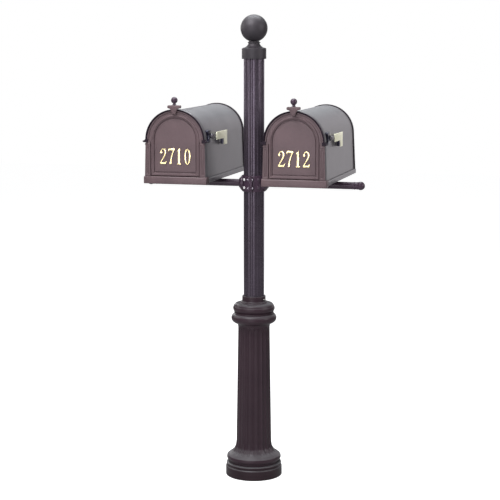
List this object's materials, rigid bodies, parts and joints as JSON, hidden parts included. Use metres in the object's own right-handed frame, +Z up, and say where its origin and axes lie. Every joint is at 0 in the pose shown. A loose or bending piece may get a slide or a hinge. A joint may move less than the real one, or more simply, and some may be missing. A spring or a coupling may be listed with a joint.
{
  "type": "twin post-mounted mailbox",
  "caption": "Arched mailboxes with drop-down doors and signal flags on the cross arms of a fluted post with a flared base and a ball finial.",
  "frame": {"origin": "centre of the base's underside, where the post's axis meets the ground", "axes": "+Z up along the post, +X along the cross arms, -Y the way the mailbox doors face"},
  "size_m": [0.8372, 0.5515, 1.7332],
  "materials": {
    "bronze_paint": "satin",
    "shell_paint": "satin",
    "polished_brass": "polished",
    "satin_brass": "satin",
    "stainless": "polished",
    "zinc_steel": "satin"
  },
  "bodies": {
    "post": {"anchor_plate": "zinc_steel", "base_plinth": "bronze_paint", "base_column": "bronze_paint", "column_capital": "bronze_paint", "post_tube": "bronze_paint", "post_cap": "bronze_paint", "finial_ball": "bronze_paint", "finial_stud": "zinc_steel", "capital_set_screw": "stainless", "cap_set_screw": "stainless", "clamp_left": "bronze_paint", "arm_left": "bronze_paint", "arm_finial_left": "bronze_paint", "clamp_screw_left_lower": "stainless", "clamp_screw_left_upper": "stainless", "clamp_right": "bronze_paint", "arm_right": "bronze_paint", "arm_finial_right": "bronze_paint", "clamp_screw_right_lower": "stainless", "clamp_screw_right_upper": "stainless", "clamp_bolt_front_lower": "stainless", "clamp_bolt_front_upper": "stainless", "clamp_bolt_rear_lower": "stainless", "clamp_bolt_rear_upper": "stainless", "body_shell_left": "shell_paint", "base_tray_left": "shell_paint", "rear_panel_left": "bronze_paint", "front_frame_left": "bronze_paint", "hinge_rod_left": "zinc_steel", "flag_bracket_left": "bronze_paint", "flag_rest_left": "bronze_paint", "flag_screw_left": "stainless", "arm_saddle_left": "bronze_paint", "body_shell_right": "shell_paint", "base_tray_right": "shell_paint", "rear_panel_right": "bronze_paint", "front_frame_right": "bronze_paint", "hinge_rod_right": "zinc_steel", "flag_bracket_right": "bronze_paint", "flag_rest_right": "bronze_paint", "flag_screw_right": "stainless", "arm_saddle_right": "bronze_paint"},
    "door_left": {"door_left": "bronze_paint", "door_keystone_left": "bronze_paint", "door_knob_left": "bronze_paint", "digit_left_1": "polished_brass", "digit_left_2": "polished_brass", "digit_left_3": "polished_brass", "digit_left_4": "polished_brass"},
    "flag_left": {"flag_arm_left": "shell_paint", "flag_plate_left": "satin_brass"},
    "door_right": {"door_right": "bronze_paint", "door_keystone_right": "bronze_paint", "door_knob_right": "bronze_paint", "digit_right_1": "polished_brass", "digit_right_2": "polished_brass", "digit_right_3": "polished_brass", "digit_right_4": "polished_brass"},
    "flag_right": {"flag_arm_right": "shell_paint", "flag_plate_right": "satin_brass"}
  },
  "joints": [
    {"name": "door_hinge_left", "type": "hinge", "parent": "post", "child": "door_left", "pos_m": [-0.218, -0.269, 1.165], "axis": [1, 0, 0], "range_deg": [0, 90]},
    {"name": "flag_pivot_left", "type": "hinge", "parent": "post", "child": "flag_left", "pos_m": [-0.0995, -0.21, 1.3], "axis": [1, 0, 0], "range_deg": [0, 90]},
    {"name": "door_hinge_right", "type": "hinge", "parent": "post", "child": "door_right", "pos_m": [0.218, -0.269, 1.165], "axis": [1, 0, 0], "range_deg": [0, 90]},
    {"name": "flag_pivot_right", "type": "hinge", "parent": "post", "child": "flag_right", "pos_m": [0.3365, -0.21, 1.3], "axis": [1, 0, 0], "range_deg": [0, 90]}
  ]
}
